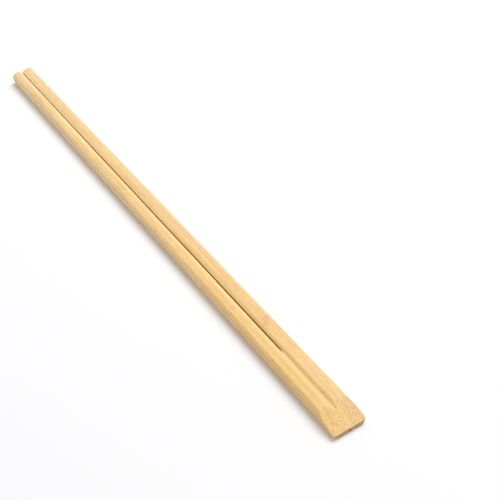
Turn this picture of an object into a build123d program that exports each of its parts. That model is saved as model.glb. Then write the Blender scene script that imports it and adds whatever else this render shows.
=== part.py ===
from build123d import *
import math
import os

# A pair of disposable chopsticks cut from one slat of bamboo and still joined at the head.
# X runs along the pair from the head to the tips, Y across it and Z up, in millimetres.
# The origin lies on the resting face, half way along the pair and on its centre line.

# Slat that the pair is cut from. It narrows evenly from the head to the tips
pair_length = 240.0
head_width = 13.6
tip_width = 9.6
thickness = 5.0
side_radius = 2.05

# Valley planed along the upper face. One wall leans back further than the other
valley_offset = 0.13
valley_depth = 0.88
left_wall_width = 1.95
right_wall_width = 1.2
valley_floor_half_width = 0.08
valley_floor_radius = 0.2
left_shoulder_radius = 0.9
right_shoulder_radius = 1.8

# Narrow groove along the resting face, below the valley
groove_offset = 0.1
groove_half_width = 0.46
groove_roof_half_width = 0.42
groove_depth = 1.4

# Slanting cut at the head, and the thin front edge that it leaves
facet_length = 10.6
front_edge_height = 2.0
front_edge_rounding = 0.15

# Saw kerf that parts the sticks. Its ends are measured from the head, one in the floor of the
# valley and the other in the roof of the groove
kerf_offset = 0.19
kerf_root_width = 0.62
kerf_tip_width = 0.42
kerf_end_above = 39.5
kerf_end_below = 50.0
saw_radius = 75.0

# Sanded rims of the tips
tip_rounding = 0.5

# How far a cut runs past the bamboo
overrun = 2.0

head_x = -pair_length / 2
tip_x = pair_length / 2
valley_floor_z = thickness - valley_depth
valley_left_y = valley_offset + left_wall_width
valley_right_y = valley_offset - right_wall_width

# The saw is a disc above the slat. Its rim passes through both ends of the kerf
kerf_rise = valley_floor_z - groove_depth
kerf_run = kerf_end_below - kerf_end_above
kerf_chord = math.hypot(kerf_run, kerf_rise)
saw_reach = math.sqrt(saw_radius**2 - (kerf_chord / 2) ** 2)
saw_x = head_x + (kerf_end_above + kerf_end_below) / 2 + saw_reach * kerf_rise / kerf_chord
saw_z = (valley_floor_z + groove_depth) / 2 + saw_reach * kerf_run / kerf_chord

# The slot that the disc leaves on its way in from the tips
with BuildPart() as saw_kerf:
    with BuildSketch(Plane.XY.offset(-overrun)):
        with BuildLine():
            Polyline(
                (saw_x - saw_radius, kerf_offset - kerf_root_width / 2),
                (tip_x + overrun, kerf_offset - kerf_tip_width / 2),
                (tip_x + overrun, kerf_offset + kerf_tip_width / 2),
                (saw_x - saw_radius, kerf_offset + kerf_root_width / 2),
                close=True,
            )
        make_face()
    extrude(amount=thickness + 2 * overrun)
    with BuildSketch(Plane.XZ):
        with Locations((saw_x, saw_z)):
            Circle(saw_radius)
            Rectangle(tip_x + overrun - saw_x, saw_z + overrun, align=(Align.MIN, Align.MAX))
    extrude(amount=kerf_offset + kerf_root_width, both=True, mode=Mode.INTERSECT)

with BuildPart() as chopstick_pair:
    # Tapered slat with its long edges rounded over
    with BuildSketch():
        with BuildLine():
            Polyline(
                (head_x, -head_width / 2),
                (tip_x, -tip_width / 2),
                (tip_x, tip_width / 2),
                (head_x, head_width / 2),
                close=True,
            )
        make_face()
    extrude(amount=thickness)
    long_edges = edges().group_by(SortBy.LENGTH)[-1]
    fillet(long_edges, radius=side_radius)

    # Valley along the upper face, with rounded shoulders
    with BuildSketch(Plane.YZ.offset(head_x - overrun)):
        with BuildLine():
            FilletPolyline(
                (valley_left_y, thickness),
                (valley_offset + valley_floor_half_width, valley_floor_z),
                (valley_offset - valley_floor_half_width, valley_floor_z),
                (valley_right_y, thickness),
                radius=valley_floor_radius,
            )
            Polyline(
                (valley_right_y, thickness),
                (valley_right_y, thickness + overrun),
                (valley_left_y, thickness + overrun),
                (valley_left_y, thickness),
            )
        make_face()
    extrude(amount=pair_length + 2 * overrun, mode=Mode.SUBTRACT)
    shoulders = edges().filter_by(Axis.X).group_by(Axis.Z)[-1].sort_by(Axis.Y)
    fillet(shoulders[-1], radius=left_shoulder_radius)
    shoulders = edges().filter_by(Axis.X).group_by(Axis.Z)[-1].sort_by(Axis.Y)
    fillet(shoulders[0], radius=right_shoulder_radius)

    # Slanting cut from the crests down to the front edge
    facet_rise = thickness - front_edge_height
    facet_plane = Plane(
        origin=(head_x, 0, front_edge_height),
        x_dir=(facet_length, 0, facet_rise),
        z_dir=(-facet_rise, 0, facet_length),
    )
    split(bisect_by=facet_plane, keep=Keep.BOTTOM)
    front_face = faces().sort_by(Axis.X)[0]
    fillet(front_face.edges(), radius=front_edge_rounding)

    # Kerf between the sticks, then the rims of both tips
    add(saw_kerf.part, mode=Mode.SUBTRACT)
    tip_faces = faces().group_by(Axis.X)[-1]
    fillet(tip_faces.edges(), radius=tip_rounding)

    # Groove along the resting face, cut last, so its ends stay sharp
    with BuildSketch(Plane.YZ.offset(head_x - overrun)):
        with BuildLine():
            Polyline(
                (groove_offset - groove_half_width, -overrun),
                (groove_offset + groove_half_width, -overrun),
                (groove_offset + groove_half_width, 0),
                (groove_offset + groove_roof_half_width, groove_depth),
                (groove_offset - groove_roof_half_width, groove_depth),
                (groove_offset - groove_half_width, 0),
                close=True,
            )
        make_face()
    extrude(amount=pair_length + 2 * overrun, mode=Mode.SUBTRACT)

chopstick_pair.part.label = "chopstick_pair"

os.makedirs("parts", exist_ok=True)
export_step(chopstick_pair.part, "parts/chopstick_pair.step")
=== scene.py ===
import math

import bpy
from mathutils import Matrix, Vector


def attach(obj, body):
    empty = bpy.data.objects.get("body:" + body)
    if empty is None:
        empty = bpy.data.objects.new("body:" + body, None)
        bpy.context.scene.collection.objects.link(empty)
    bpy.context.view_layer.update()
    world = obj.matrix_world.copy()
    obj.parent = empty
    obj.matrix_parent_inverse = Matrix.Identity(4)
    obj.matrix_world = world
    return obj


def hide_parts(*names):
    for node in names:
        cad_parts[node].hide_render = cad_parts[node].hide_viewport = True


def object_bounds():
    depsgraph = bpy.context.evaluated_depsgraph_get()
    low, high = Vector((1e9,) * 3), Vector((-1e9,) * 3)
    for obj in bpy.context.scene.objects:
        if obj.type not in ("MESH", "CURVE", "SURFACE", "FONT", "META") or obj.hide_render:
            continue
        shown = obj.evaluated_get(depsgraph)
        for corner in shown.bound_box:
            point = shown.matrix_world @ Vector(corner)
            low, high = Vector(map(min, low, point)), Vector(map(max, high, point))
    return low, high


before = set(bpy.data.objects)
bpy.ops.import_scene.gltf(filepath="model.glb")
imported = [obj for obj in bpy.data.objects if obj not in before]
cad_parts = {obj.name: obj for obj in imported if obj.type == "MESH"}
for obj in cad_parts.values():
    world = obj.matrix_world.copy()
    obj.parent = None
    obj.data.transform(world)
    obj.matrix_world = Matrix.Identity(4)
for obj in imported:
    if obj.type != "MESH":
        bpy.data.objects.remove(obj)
cadLow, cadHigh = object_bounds()
mm = 0.001
white = (1, 1, 1, 1)
rising = (0.0, 1.0)
falling = (1.0, 0.0)


# Wraps one socket, so that an expression on values adds its Math nodes
class Flow:
    def __init__(self, graph, socket):
        self.graph = graph
        self.socket = socket

    def math(self, operation, *others):
        return self.graph.math(operation, self, *others)

    def __add__(self, other):
        return self.math("ADD", other)

    def __radd__(self, other):
        return self.math("ADD", other)

    def __sub__(self, other):
        return self.math("SUBTRACT", other)

    def __rsub__(self, other):
        return self.graph.math("SUBTRACT", other, self)

    def __mul__(self, other):
        return self.math("MULTIPLY", other)

    def __rmul__(self, other):
        return self.math("MULTIPLY", other)

    def __truediv__(self, other):
        return self.math("DIVIDE", other)

    def __rtruediv__(self, other):
        return self.graph.math("DIVIDE", other, self)


# One node tree. node() takes a type, its settings, and the values or links of its sockets
class Graph:
    def __init__(self, tree):
        self.tree = tree
        tree.nodes.clear()

    def node(self, kind, settings=None, sockets=(), out=0):
        made = self.tree.nodes.new(kind)
        for name, value in (settings or {}).items():
            setattr(made, name, value)
        pairs = sockets.items() if isinstance(sockets, dict) else enumerate(sockets)
        for key, value in pairs:
            self.feed(self.find(made.inputs, key), value)
        return Flow(self, self.find(made.outputs, out)) if len(made.outputs) else made

    def find(self, sockets, key):
        if isinstance(key, int):
            return sockets[key]
        named = [s for s in sockets if s.identifier == key or s.name == key]
        enabled = [s for s in named if s.enabled]
        return (enabled or named)[0]

    def feed(self, socket, value):
        if isinstance(value, Flow):
            self.tree.links.new(value.socket, socket)
        else:
            socket.default_value = value

    def math(self, operation, *values):
        return self.node("ShaderNodeMath", {"operation": operation}, values)

    def split(self, vector):
        parts = self.node("ShaderNodeSeparateXYZ", None, [vector]).socket.node
        return [Flow(self, socket) for socket in parts.outputs]

    def join(self, *values):
        return self.node("ShaderNodeCombineXYZ", None, values)

    # Keeps a value between 0 and 1
    def limited(self, value):
        return self.node("ShaderNodeClamp", None, [value])

    # Goes smoothly from the first share to the second, while the value crosses the span
    def fade(self, value, span, shares=rising):
        return self.node("ShaderNodeMapRange", {"interpolation_type": "SMOOTHSTEP"}, {
            "Value": value, "From Min": span[0], "From Max": span[1],
            "To Min": shares[0], "To Max": shares[1]})

    def mixColour(self, share, first, second, blend="MIX"):
        settings = {"data_type": "RGBA", "blend_type": blend, "clamp_factor": True, "clamp_result": True}
        sockets = {"Factor_Float": share, "A_Color": first, "B_Color": second}
        return self.node("ShaderNodeMix", settings, sockets, "Result_Color")


# The direction of a heading, in degrees from +X, and an elevation above the floor
def pointing(heading, elevation):
    heading, elevation = math.radians(heading), math.radians(elevation)
    return Vector((
        math.cos(heading) * math.cos(elevation),
        math.sin(heading) * math.cos(elevation),
        math.sin(elevation)))


# Camera, worked out from the outlines and cut edges of the pair in the photograph
cameraView = {
    "aim": (-27.98 * mm, -20.91 * mm, 0.0),   # where the view's middle meets the floor
    "distance": 536.4 * mm,
    "heading": -30.85,                        # which way it looks
    "elevation": -45.04,                      # how far it looks down
    "roll": -4.20,
    "sensor": 36.0,
    "lens": 101.07,
    "clipStart": 10 * mm,
}


def buildCamera(view):
    forward = pointing(view["heading"], view["elevation"])
    level = forward.cross(Vector((0, 0, 1))).normalized()
    upright = level.cross(forward)
    turn = Matrix((level, upright, -forward)).transposed()
    turn = turn @ Matrix.Rotation(math.radians(view["roll"]), 3, "Z")
    camera = bpy.data.objects.new("camera", bpy.data.cameras.new("camera"))
    place = Vector(view["aim"]) - forward * view["distance"]
    camera.matrix_world = Matrix.Translation(place) @ turn.to_4x4()
    camera.data.sensor_width = view["sensor"]
    camera.data.lens = view["lens"]
    camera.data.clip_start = view["clipStart"]
    bpy.context.scene.collection.objects.link(camera)
    bpy.context.scene.camera = camera


buildCamera(cameraView)
print("camera placed")

# Studio: a white floor, a soft lamp high on the -Y side, and even light from all around
studio = {
    "floorSize": 6.0,
    "floorColour": (0.94, 0.88, 0.85, 1),     # as it lights the pair from below
    "floorSeen": (0.996, 0.988, 1.0, 1),      # as the camera sees it
    "floorLift": 0.01,                        # a faint glow, which keeps the floor white in the view
    "floorRoughness": 0.9,
    "aroundLevel": 0.49,
    "aroundColour": (0.96, 0.985, 1.0, 1),
    "lampSize": 1.15,
    "lampDistance": 1.4,
    "lampHeading": -76.0,                     # where it stands, seen from the pair
    "lampElevation": 59.5,
    "lampPower": 14.2,
    "lampColour": (1.0, 0.99, 0.98),
}


def buildFloor(studio):
    half = studio["floorSize"] / 2
    corners = [(-half, -half, 0), (half, -half, 0), (half, half, 0), (-half, half, 0)]
    floorMesh = bpy.data.meshes.new("floor")
    floorMesh.from_pydata(corners, [], [(0, 1, 2, 3)])
    floor = bpy.data.objects.new("floor", floorMesh)
    bpy.context.scene.collection.objects.link(floor)

    paper = bpy.data.materials.new("white paper")
    paper.use_nodes = True
    graph = Graph(paper.node_tree)
    seen = graph.node("ShaderNodeLightPath", out="Is Camera Ray")
    surface = graph.node("ShaderNodeBsdfPrincipled", None, {
        "Base Color": graph.mixColour(seen, studio["floorColour"], studio["floorSeen"]),
        "Roughness": studio["floorRoughness"], "Specular IOR Level": 0.0,
        "Emission Color": white, "Emission Strength": seen * studio["floorLift"]})
    graph.node("ShaderNodeOutputMaterial", None, {"Surface": surface})
    floorMesh.materials.append(paper)


def buildSurroundings(studio):
    world = bpy.data.worlds.new("studio")
    bpy.context.scene.world = world
    world.use_nodes = True
    graph = Graph(world.node_tree)
    seen = graph.node("ShaderNodeLightPath", out="Is Camera Ray")
    around = graph.node("ShaderNodeBackground", None, {
        "Color": graph.mixColour(seen, studio["aroundColour"], white),
        "Strength": studio["aroundLevel"] + seen * (1 - studio["aroundLevel"])})
    graph.node("ShaderNodeOutputWorld", None, {"Surface": around})


def buildLamp(studio):
    toLamp = pointing(studio["lampHeading"], studio["lampElevation"])
    light = bpy.data.lights.new("soft lamp", "AREA")
    light.shape = "DISK"
    light.size = studio["lampSize"]
    light.energy = studio["lampPower"]
    light.color = studio["lampColour"]
    lamp = bpy.data.objects.new("soft lamp", light)
    lamp.location = toLamp * studio["lampDistance"]
    lamp.rotation_euler = toLamp.to_track_quat("Z", "Y").to_euler()
    bpy.context.scene.collection.objects.link(lamp)


buildFloor(studio)
buildSurroundings(studio)
buildLamp(studio)
bpy.context.scene.view_settings.view_transform = "Standard"
print("studio lit")

# Bamboo: fibres that run the length of the slat, with dots where the bundles are cut across.
# A noise is its length along the slat, its width, the shift that tells it from the others, its detail
# and its roughness. A fade is where a colour starts to show or to end, and a share is how much of it shows.
bamboo = {
    "left": (0.895, 0.582, 0.217, 1),         # the stick on the +Y side, more golden
    "right": (0.910, 0.602, 0.264, 1),
    "leftFade": (-0.3 * mm, 0.3 * mm),

    "golden": (0.930, 0.620, 0.215, 1),       # a streak along the middle of the left stick
    "goldenPlace": 4.0 * mm,
    "goldenLean": -0.008,                     # it follows the taper of the stick
    "goldenWidth": 0.9 * mm,
    "goldenShare": 0.9,

    "patchNoise": (6 * mm, 1.2 * mm, 7.0, 3.0, 0.55),
    "rose": (0.930, 0.535, 0.290, 1),
    "roseFade": (0.50, 0.70),
    "roseShare": 0.55,
    "yellow": (0.850, 0.610, 0.170, 1),
    "yellowFade": (0.48, 0.30),
    "yellowShare": 0.50,

    "planed": (0.985, 0.690, 0.345, 1),       # painted highlight: the left wall of the valley, which faces the lamp, made paler
    "planedStart": (0.2 * mm, 0.5 * mm),
    "planedEnd": (1.1 * mm, 2.4 * mm),
    "planedAlong": (-95 * mm, -70 * mm),
    "planedShares": (0.45, 1.0),

    "paintedBounce": (1.000, 0.625, 0.255, 1),         # painted bounce light: the valley's right wall, which faces away from the lamp, made lighter and warmer
    "paintedBounceStart": (-0.3 * mm, 0.1 * mm),
    "paintedBounceEnd": (-0.4 * mm, 0.2 * mm),         # counted from the wall's upper edge
    "paintedBounceShare": 0.9,

    "paleTips": (0.945, 0.720, 0.430, 1),     # paler toward the tips
    "paleTipsAlong": (-60 * mm, 110 * mm),
    "paleTipsShare": 0.35,

    "paintedSideLight": (1.000, 0.730, 0.430, 1),         # painted light: the rounded outer side of the left stick, which faces away from the lamp, made lighter, most toward the tips
    "paintedSideLightFacing": (0.15, 0.80),
    "paintedSideLightStart": (1.5 * mm, 3.5 * mm),
    "paintedSideLightAlong": (-110 * mm, 90 * mm),
    "paintedSideLightShares": (0.30, 0.95),

    "node": (0.780, 0.455, 0.235, 1),         # a slanting mark across the right stick
    "nodePlace": -69.2 * mm,
    "nodeSlant": -1.13,
    "nodeWander": 5 * mm,
    "nodeWidth": 3.2 * mm,
    "nodeEnd": (-1.9 * mm, -0.9 * mm),
    "nodeShare": 0.75,

    "cutFacing": (0.10, 0.22),                # a face that looks this far along the slat is cut across
    "bundle": (0.660, 0.340, 0.110, 1),
    "bundleSpacing": 1.05 * mm,
    "bundleRise": 0.30 * mm,
    "driftNoise": (28 * mm, 6 * mm, 11.0, 1.0),
    "bundleDrift": (1.5, 2.5),
    "bundleUnevenness": 0.45,
    "bundleFade": (0.16, 0.36),
    "bundleShare": 0.10,
    "bundleShareAtCut": 0.44,                 # added where the slat is cut across

    "fleck": (0.560, 0.320, 0.100, 1),
    "fleckNoise": (1.6 * mm, 0.22 * mm, 17.0, 1.0),
    "fleckFade": (0.71, 0.80),
    "fleckShare": 0.45,

    "strand": (0.780, 0.440, 0.130, 1),       # single darker strands along the grain
    "strandNoise": (38 * mm, 0.40 * mm, 41.0, 1.0),
    "strandFade": (0.58, 0.70),
    "strandShare": 0.65,
    "strandShareLeft": 0.25,                  # added on the left stick

    "fibreNoise": (30 * mm, 0.17 * mm, 0.0, 3.0, 0.6),
    "streakNoise": (45 * mm, 0.55 * mm, 5.0, 2.0),
    "mottleNoise": (4 * mm, 0.9 * mm, 23.0, 2.0),
    "grainNoise": (1.5 * mm, 0.8 * mm, 31.0, 1.0),
    "broadNoise": (35 * mm, 4 * mm, 3.0, 1.0),
    "deep": 0.37,                             # how dark the fibre is, and what each noise takes off
    "deepFibres": 0.28,
    "deepStreaks": 0.27,
    "deepStreaksLeft": 0.19,                  # added on the left stick
    "deepMottles": 0.28,
    "deepGrain": 0.20,
    "deepBroad": 0.06,
    "deepPaintedBounce": 0.07,                         # taken off on the valley's right wall, as painted bounce light
    "deepAtCut": 0.02,                        # added where the slat is cut across
    "deepChannels": (0.8, 1.0, 1.7),          # dark fibre is richer too, so blue falls further than red

    "end": (0.480, 0.330, 0.180, 1),          # the front edge and the faces of the tips
    "endFacing": (0.5, 0.9),
    "endShare": 0.75,

    "kerf": (0.665, 0.372, 0.022, 1),         # the walls of the kerf and of the groove
    "kerfAtTips": (0.790, 0.445, 0.022, 1),
    "kerfAlong": (-30 * mm, 130 * mm),
    "kerfFacing": (0.8, 0.9),
    "kerfMargins": (0.02 * mm, 0.06 * mm),    # how far past a wall its colour starts to end, and ends
    "grooveMargins": (0.04 * mm, 0.09 * mm),

    "roughness": 0.52,
    "roughnessFibres": 0.08,
    "shine": 0.4,
    "bumpStrength": 0.35,
    "bumpHeight": 0.05 * mm,
}


# Bundles stand in staggered rows, so the rows are laid out on a lattice turned by an eighth of a turn
def findBundles(graph, look, y, z, drift):
    driftAcross, driftUp = look["bundleDrift"]
    across = y / look["bundleSpacing"] + drift * driftAcross
    up = z / look["bundleRise"] + drift * driftUp
    eighth = math.sqrt(0.5)
    lattice = graph.join((across + up) * eighth, (across - up) * eighth, 0.0)
    cells = graph.node("ShaderNodeTexVoronoi", {"feature": "F1", "voronoi_dimensions": "2D"}, {
        "Vector": lattice, "Scale": 1.0, "Randomness": look["bundleUnevenness"]}, "Distance")
    return graph.fade(cells, look["bundleFade"], falling)


# The walls that the saw leaves in the kerf and in the groove
def findSawnWalls(graph, look, sizes, y, z, ny, ends):
    def past(edge, margins):
        return edge + margins[0], edge + margins[1]

    fromKerf = (y - sizes["Kerf Offset"]).math("ABSOLUTE")
    wall = graph.fade(fromKerf, past(sizes["Kerf Root Width"] / 2, look["kerfMargins"]), falling)
    wall = wall * graph.fade(ny.math("ABSOLUTE"), look["kerfFacing"])
    fromGroove = (y - sizes["Groove Offset"]).math("ABSOLUTE")
    groove = graph.fade(fromGroove, past(sizes["Groove Half Width"], look["grooveMargins"]), falling)
    groove = groove * graph.fade(z, past(sizes["Groove Depth"], look["kerfMargins"]), falling) * (1 - ends)
    return wall.math("MAXIMUM", groove)


def makeBamboo(look, sizes):
    material = bpy.data.materials.new("bamboo")
    material.use_nodes = True
    graph = Graph(material.node_tree)
    x, y, z = graph.split(graph.node("ShaderNodeTexCoord", out="Object"))
    nx, ny = graph.split(graph.node("ShaderNodeTexCoord", out="Normal"))[:2]

    def noise(length, width, shift, detail, roughness=0.5):
        return graph.node("ShaderNodeTexNoise", None, {
            "Vector": graph.join(x / length + shift, y / width, z / width),
            "Scale": 1.0, "Detail": detail, "Roughness": roughness}, "Fac")

    # Where the surface lies
    left = graph.fade(y, look["leftFade"])
    fromStreak = (y - look["goldenPlace"] - x * look["goldenLean"]).math("ABSOLUTE")
    golden = graph.fade(fromStreak, (0.0, look["goldenWidth"]), falling)
    # painted highlight: the valley's left wall, which faces the lamp, is made paler
    planed = graph.fade(y, look["planedStart"]) * graph.fade(y, look["planedEnd"], falling)
    headWall, tipWall = sizes["Right Wall Head"], sizes["Right Wall Tip"]
    wallWidth = (headWall + tipWall) / 2 + x * ((tipWall - headWall) / sizes["Length"])
    # painted bounce light: the valley's right wall, which faces away from the lamp
    paintedBounce = graph.fade(y, look["paintedBounceStart"], falling) * graph.fade(y + wallWidth, look["paintedBounceEnd"])
    # painted light on the outer side of the left stick, which faces away from the lamp
    paintedSideLight = graph.fade(ny, look["paintedSideLightFacing"]) * graph.fade(y, look["paintedSideLightStart"])
    cut = graph.fade(nx.math("ABSOLUTE"), look["cutFacing"])
    ends = graph.fade(nx.math("ABSOLUTE"), look["endFacing"])

    # Colours of the two sticks, from patches to the light painted on the valley's walls and on the outer
    # side
    patches = noise(*look["patchNoise"])
    base = graph.mixColour(left, look["right"], look["left"])
    base = graph.mixColour(golden * look["goldenShare"], base, look["golden"])
    rose = graph.fade(patches, look["roseFade"]) * look["roseShare"]
    base = graph.mixColour(rose, base, look["rose"])
    yellow = graph.fade(patches, look["yellowFade"]) * look["yellowShare"]
    base = graph.mixColour(yellow, base, look["yellow"])
    # paints the highlight on the valley's left wall, weaker near the head
    planed = planed * graph.fade(x, look["planedAlong"], look["planedShares"])
    base = graph.mixColour(planed, base, look["planed"])
    # paints bounce light on the valley's right wall
    base = graph.mixColour(paintedBounce * look["paintedBounceShare"], base, look["paintedBounce"])
    paleTips = graph.fade(x, look["paleTipsAlong"]) * look["paleTipsShare"]
    base = graph.mixColour(paleTips, base, look["paleTips"])
    # paints light on that outer side, stronger toward the tips
    paintedSideLight = paintedSideLight * graph.fade(x, look["paintedSideLightAlong"], look["paintedSideLightShares"])
    base = graph.mixColour(paintedSideLight, base, look["paintedSideLight"])

    # Marks: the node, the bundles, flecks and strands
    streaks = noise(*look["streakNoise"])
    fromNode = x - look["nodePlace"] - y * look["nodeSlant"] + (streaks - 0.5) * look["nodeWander"]
    node = graph.fade(fromNode.math("ABSOLUTE"), (0.0, look["nodeWidth"]), falling)
    node = node * graph.fade(y, look["nodeEnd"], falling)
    base = graph.mixColour(node * look["nodeShare"], base, look["node"])
    bundles = findBundles(graph, look, y, z, noise(*look["driftNoise"]))
    bundles = bundles * (look["bundleShare"] + cut * look["bundleShareAtCut"])
    base = graph.mixColour(bundles, base, look["bundle"])
    flecks = graph.fade(noise(*look["fleckNoise"]), look["fleckFade"])
    base = graph.mixColour(flecks * look["fleckShare"], base, look["fleck"])
    strands = graph.fade(noise(*look["strandNoise"]), look["strandFade"]) * (1 - cut)
    strands = strands * (look["strandShare"] + left * look["strandShareLeft"])
    base = graph.mixColour(strands, base, look["strand"])

    # Light and dark fibre
    fibres = noise(*look["fibreNoise"])
    # the valley's right wall loses some dark fibre, as painted bounce light
    deep = look["deep"] - paintedBounce * look["deepPaintedBounce"] + cut * look["deepAtCut"] - fibres * look["deepFibres"]
    deep = deep + (0.5 - streaks) * (look["deepStreaks"] + left * look["deepStreaksLeft"])
    deep = deep - noise(*look["mottleNoise"]) * look["deepMottles"]
    deep = deep - noise(*look["grainNoise"]) * look["deepGrain"]
    deep = deep - noise(*look["broadNoise"]) * look["deepBroad"]
    shade = [1 - deep * channel for channel in look["deepChannels"]]
    shade = graph.node("ShaderNodeCombineColor", None, shade)
    base = graph.mixColour(1.0, base, shade, "MULTIPLY")

    # Cut faces
    base = graph.mixColour(ends * look["endShare"], base, look["end"])
    kerf = graph.mixColour(graph.fade(x, look["kerfAlong"]), look["kerf"], look["kerfAtTips"])
    base = graph.mixColour(findSawnWalls(graph, look, sizes, y, z, ny, ends), base, kerf)

    bump = graph.node("ShaderNodeBump", None, {
        "Strength": look["bumpStrength"], "Distance": look["bumpHeight"], "Height": fibres})
    surface = graph.node("ShaderNodeBsdfPrincipled", None, {
        "Base Color": base, "Roughness": look["roughness"] + fibres * look["roughnessFibres"],
        "Normal": bump, "Specular IOR Level": look["shine"]})
    graph.node("ShaderNodeOutputMaterial", None, {"Surface": surface})
    return material


# The pair: one slat with a valley along the top, a groove along the underside, a slanting cut at the head
# and a saw kerf in from the tips. Each value is an input of the node tree that makes it
pair = {
    "Length": cadHigh.x - cadLow.x,
    "Head Width": 13.6 * mm,
    "Tip Width": 9.6 * mm,
    "Thickness": cadHigh.z - cadLow.z,
    "Side Radius": 2.05 * mm,

    "Valley Offset": 0.13 * mm,               # the valley lies a little to the +Y side
    "Valley Depth": 0.88 * mm,
    "Left Wall Width": 1.95 * mm,
    "Left Wall Softness": 0.18 * mm,
    "Right Wall Head": 0.98 * mm,             # the wall on the -Y side leans back more toward the tips
    "Right Wall Tip": 2.05 * mm,
    "Right Wall Softness": 0.46 * mm,
    "Valley Floor Half Width": 0.08 * mm,
    "Floor Softness": 0.05 * mm,

    "Groove Offset": 0.1 * mm,                # the narrow groove along the underside
    "Groove Half Width": 0.46 * mm,
    "Groove Roof Half Width": 0.42 * mm,
    "Groove Depth": 1.4 * mm,
    "Groove Softness": 0.05 * mm,

    "Facet Length": 10.6 * mm,                # the slanting cut at the head
    "Front Height": 2.0 * mm,
    "Facet Softness": 0.05 * mm,
    "Front Rounding": 0.15 * mm,
    "Front Corner Radius": 0.8 * mm,          # the two corners of the front edge, seen from above
    "Tip Rounding": 0.5 * mm,

    "Kerf Offset": 0.19 * mm,
    "Kerf Root Width": 0.62 * mm,
    "Kerf Tip Width": 0.42 * mm,
    "Saw Radius": 75 * mm,
    "Saw From Head": 63.4 * mm,
    "Saw Height": 75.2 * mm,
    "Overrun": 1 * mm,                        # how far the kerf's block stands out of the slat

    "Seed": 4.0,
    "Relief": 0.03 * mm,                      # how deep the lines between the fibres go
    "Relief Length": 45 * mm,
    "Relief Width": 0.55 * mm,
    "Waviness": 0.06 * mm,
    "Wave Length": 70 * mm,
    "Wave Width": 5 * mm,
    "Facet Relief": 0.015 * mm,               # how uneven the slanting cut is
    "Facet Relief Length": 0.9 * mm,
    "Facet Relief Width": 0.6 * mm,

    "Columns": 240,                           # points round the section
    "Valley Zone": 2.6 * mm,                  # the middle columns keep to the valley and its shoulders
    "Valley Columns Share": 0.40,
    "Rows": 290,                              # sections along the slat
    "Front Rows Share": 0.025,
    "Facet Rows Share": 0.15,
    "Tip Rows Share": 0.035,
    "Row Crowding": 1.3,                      # above 1, the rows stand closer toward the head
    "Least Crease": 0.45 * mm,                # the facet's rows reach at least this far from the front edge
    "Kerf Columns": 60,
    "Kerf Layers": 16,
    "Kerf Flare Share": 0.3,                  # the kerf's columns at the rims of the tips and past them
    "Kerf Overrun Share": 0.2,                # and those of them that run on past the tips
}


# The first value where the share is 1, the second where it is 0, and a mix of the two between
def choose(share, atOne, atZero):
    return atZero + (atOne - atZero) * share


def facetSlope(size):
    return (size("Thickness") - size("Front Height")) / size("Facet Length")


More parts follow.
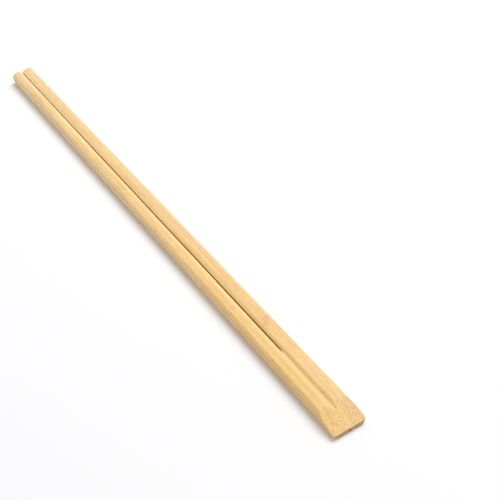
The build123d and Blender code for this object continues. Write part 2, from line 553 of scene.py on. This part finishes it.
# Bends a tube of quads into the slat. The tube's upper half makes the top with the valley, and its lower
# half the underside with the groove
def bendSlat(graph, size):
    tube = graph.node("GeometryNodeMeshCylinder", {"fill_type": "NGON"}, {
        "Vertices": size("Columns"), "Side Segments": size("Rows"), "Radius": 1.0, "Depth": 1.0}, "Mesh")
    acrossTube, upTube, alongTube = graph.split(graph.node("GeometryNodeInputPosition"))
    side, up = acrossTube.math("SIGN"), upTube.math("SIGN")
    onLeft = graph.math("GREATER_THAN", acrossTube, 0.0)
    onTop = graph.math("GREATER_THAN", upTube, 0.0)
    length, thickness, radius = size("Length"), size("Thickness"), size("Side Radius")
    middle = choose(onTop, size("Valley Offset"), size("Groove Offset"))

    # Columns: a share of them keeps to the zone of the valley, and the others fan out round the side
    zone, zoneShare = size("Valley Zone"), size("Valley Columns Share")
    turn = graph.math("ARCTAN2", upTube, acrossTube).math("ABSOLUTE")
    fromCentre = (turn * (2 / math.pi) - 1).math("ABSOLUTE")
    within = graph.math("MINIMUM", fromCentre, zoneShare) * (zone / zoneShare)
    fan = graph.math("MAXIMUM", fromCentre - zoneShare, 0.0) * (math.pi / 2 / (1 - zoneShare))

    # Distance from the middle of the valley or of the groove
    def awayFromMiddle(halfWidth):
        return within + (halfWidth - side * middle - zone) * fan.math("SINE")

    # Height above or below the middle of the slat at that distance
    def halfHeight(away, halfWidth, lengthShare):
        inward = radius - graph.math("MINIMUM", halfWidth - side * middle - away, radius)
        rounded = graph.math("MAXIMUM", radius * radius - inward * inward, 0.0).math("SQRT")
        rightWall = choose(lengthShare, size("Right Wall Tip"), size("Right Wall Head"))
        wall = choose(onTop, choose(onLeft, size("Left Wall Width"), rightWall), size("Groove Half Width"))
        soft = choose(onLeft, size("Left Wall Softness"), size("Right Wall Softness"))
        soft = choose(onTop, soft, size("Groove Softness"))
        deep = choose(onTop, size("Valley Depth"), size("Groove Depth"))
        bottom = choose(onTop, size("Valley Floor Half Width"), size("Groove Roof Half Width"))
        fall = graph.math("SMOOTH_MAX", deep * (wall - away) / (wall - bottom), 0.0, soft)
        fall = graph.math("SMOOTH_MIN", fall, deep, size("Floor Softness"))
        return thickness / 2 - radius + rounded - fall

    # The crease is where the slanting cut meets the top, and the facet's rows end there
    headHalf = size("Head Width") / 2
    headHeight = thickness / 2 + up * halfHeight(awayFromMiddle(headHalf), headHalf, 0.0)
    crease = (headHeight - size("Front Height")).math("ABSOLUTE") / facetSlope(size)
    crease = graph.math("MAXIMUM", crease, size("Least Crease"))

    # Rows: round the front edge, up the slanting cut, down the slat, and round the tips
    row = alongTube + 0.5
    frontShare, facetShare = size("Front Rows Share"), size("Facet Rows Share")
    tipShare = size("Tip Rows Share")
    longShare = 1 - frontShare - facetShare - tipShare

    def through(start, share):
        return graph.limited((row - start) / share)

    frontTurn = (1 - through(0.0, frontShare)) * (math.pi / 2)
    facetRow = graph.fade(row, (frontShare, frontShare + facetShare))
    longRow = through(frontShare + facetShare, longShare).math("POWER", size("Row Crowding"))
    tipTurn = through(1 - tipShare, tipShare) * (math.pi / 2)
    frontRound, tipRound = size("Front Rounding"), size("Tip Rounding")
    x = (frontRound * (1 - frontTurn.math("SINE"))
         + (crease - frontRound) * facetRow
         + (length - tipRound - crease) * longRow
         + tipRound * tipTurn.math("SINE"))
    inset = frontRound * (1 - frontTurn.math("COSINE")) + tipRound * (1 - tipTurn.math("COSINE"))

    halfWidth = choose(x / length, size("Tip Width"), size("Head Width")) / 2
    cornerRadius = size("Front Corner Radius")
    toArc = graph.math("MAXIMUM", cornerRadius - x, 0.0)
    halfWidth = halfWidth - cornerRadius + (cornerRadius * cornerRadius - toArc * toArc).math("SQRT")
    away = awayFromMiddle(halfWidth)
    height = thickness / 2 + up * halfHeight(away, halfWidth, x / length)
    bent = graph.node("GeometryNodeSetPosition", None, {
        "Geometry": tube, "Position": graph.join(x - length / 2, middle + side * away, height)})
    return graph.node("GeometryNodeStoreNamedAttribute", {"data_type": "FLOAT", "domain": "POINT"}, {
        "Geometry": bent, "Name": "inset", "Value": inset})


# Rounds the rims and sinks the relief, both inwards, and then makes the slanting cut
def finishSurface(graph, size, slat):
    px, py, pz = graph.split(graph.node("GeometryNodeInputPosition"))
    ny, nz = graph.split(graph.node("GeometryNodeInputNormal"))[1:]
    leastSpread = 0.001    # keeps the faces that look along the slat from a division by zero
    spread = graph.math("MAXIMUM", (ny * ny + nz * nz).math("SQRT"), leastSpread)

    def noise(lengthName, widthName):
        width = size(widthName)
        return graph.node("ShaderNodeTexNoise", {"noise_dimensions": "4D"}, {
            "Vector": graph.join(px / size(lengthName), py / width, pz / width),
            "W": size("Seed"), "Scale": 1.0, "Detail": 1.0}, "Fac")

    inset = graph.node(
        "GeometryNodeInputNamedAttribute", {"data_type": "FLOAT"}, {"Name": "inset"}, "Attribute")
    depth = inset + size("Relief") * noise("Relief Length", "Relief Width")
    depth = depth + size("Waviness") * noise("Wave Length", "Wave Width")
    cutPlane = size("Front Height") + facetSlope(size) * (px + size("Length") / 2) - inset
    cutPlane = cutPlane - size("Facet Relief") * noise("Facet Relief Length", "Facet Relief Width")
    newY = py - depth * ny / spread
    newZ = graph.math("SMOOTH_MIN", pz - depth * nz / spread, cutPlane, size("Facet Softness"))
    return graph.node("GeometryNodeSetPosition", None, {
        "Geometry": slat, "Position": graph.join(px, newY, newZ)})


# Cuts the kerf, the slot that a disc saw leaves on its way in from the tips
def sawKerf(graph, size, slat):
    block = graph.node("GeometryNodeMeshCube", None, {
        "Size": (1, 1, 1), "Vertices X": size("Kerf Columns"), "Vertices Y": 2,
        "Vertices Z": size("Kerf Layers")}, "Mesh")
    alongBlock, acrossBlock, upBlock = graph.split(graph.node("GeometryNodeInputPosition"))
    length, thickness, tipRound = size("Length"), size("Thickness"), size("Tip Rounding")
    over, sawRadius = size("Overrun"), size("Saw Radius")
    height = thickness / 2 + upBlock * (thickness + 2 * over)
    rise = height - size("Saw Height")
    root = size("Saw From Head") - (sawRadius * sawRadius - rise * rise).math("SQRT")

    column = alongBlock + 0.5
    flareShare, overShare = size("Kerf Flare Share"), size("Kerf Overrun Share")
    longColumn = graph.limited(column / (1 - flareShare))
    flareColumn = graph.limited((column - (1 - flareShare)) / (flareShare * (1 - overShare)))
    overColumn = graph.limited((column - (1 - flareShare * overShare)) / (flareShare * overShare))
    flareTurn = flareColumn * (math.pi / 2)
    x = (root
         + (length - tipRound - root) * longColumn
         + tipRound * flareTurn.math("SINE")
         + over * overColumn)
    fromRoot = (x - root) / (length - root)
    halfWidth = choose(fromRoot, size("Kerf Tip Width"), size("Kerf Root Width")) / 2
    halfWidth = halfWidth + tipRound * (1 - flareTurn.math("COSINE"))
    y = size("Kerf Offset") + acrossBlock.math("SIGN") * halfWidth
    kerf = graph.node("GeometryNodeSetPosition", None, {
        "Geometry": block, "Position": graph.join(x - length / 2, y, height)})
    return graph.node("GeometryNodeMeshBoolean", {"operation": "DIFFERENCE", "solver": "MANIFOLD"}, {
        "Mesh 1": slat, "Mesh 2": kerf}, "Mesh")


def makeSlatTree(sizes, material):
    tree = bpy.data.node_groups.new("slat", "GeometryNodeTree")
    tree.interface.new_socket("Geometry", in_out="OUTPUT", socket_type="NodeSocketGeometry")
    for name, value in sizes.items():
        kind = "NodeSocketInt" if isinstance(value, int) else "NodeSocketFloat"
        tree.interface.new_socket(name, in_out="INPUT", socket_type=kind).default_value = value
    graph = Graph(tree)
    given = graph.node("NodeGroupInput").socket.node

    def size(name):
        return Flow(graph, given.outputs[name])

    slat = bendSlat(graph, size)
    slat = finishSurface(graph, size, slat)
    slat = sawKerf(graph, size, slat)
    slat = graph.node("GeometryNodeRemoveAttribute", None, {"Geometry": slat, "Name": "inset"})
    slat = graph.node("GeometryNodeRealizeInstances", None, [slat])
    slat = graph.node("GeometryNodeSetMaterial", None, {"Geometry": slat, "Material": material})
    graph.node("NodeGroupOutput", None, [slat])
    return tree


def buildPair(sizes, material):
    maker = bpy.data.objects.new("maker", bpy.data.meshes.new("seed"))
    bpy.context.scene.collection.objects.link(maker)
    modifier = maker.modifiers.new("slat", "NODES")
    modifier.node_group = makeSlatTree(sizes, material)
    for item in modifier.node_group.interface.items_tree:
        if item.in_out == "INPUT":
            modifier[item.identifier] = sizes[item.name]
    ready = maker.evaluated_get(bpy.context.evaluated_depsgraph_get())
    mesh = bpy.data.meshes.new_from_object(ready)
    maker.modifiers.clear()
    bpy.data.objects.remove(maker)

    mesh.name = "bamboo_pair"
    mesh.shade_smooth()
    sharpFrom = 32         # degrees between two faces
    mesh.set_sharp_from_angle(angle=math.radians(sharpFrom))
    piece = bpy.data.objects.new("bamboo_pair", mesh)
    bpy.context.scene.collection.objects.link(piece)
    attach(piece, "root")
    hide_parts("chopstick_pair")
    print("pair cut:", len(mesh.vertices), "points,", len(mesh.polygons), "faces")


bambooMaterial = makeBamboo(bamboo, pair)
print("bamboo mixed")
buildPair(pair, bambooMaterial)
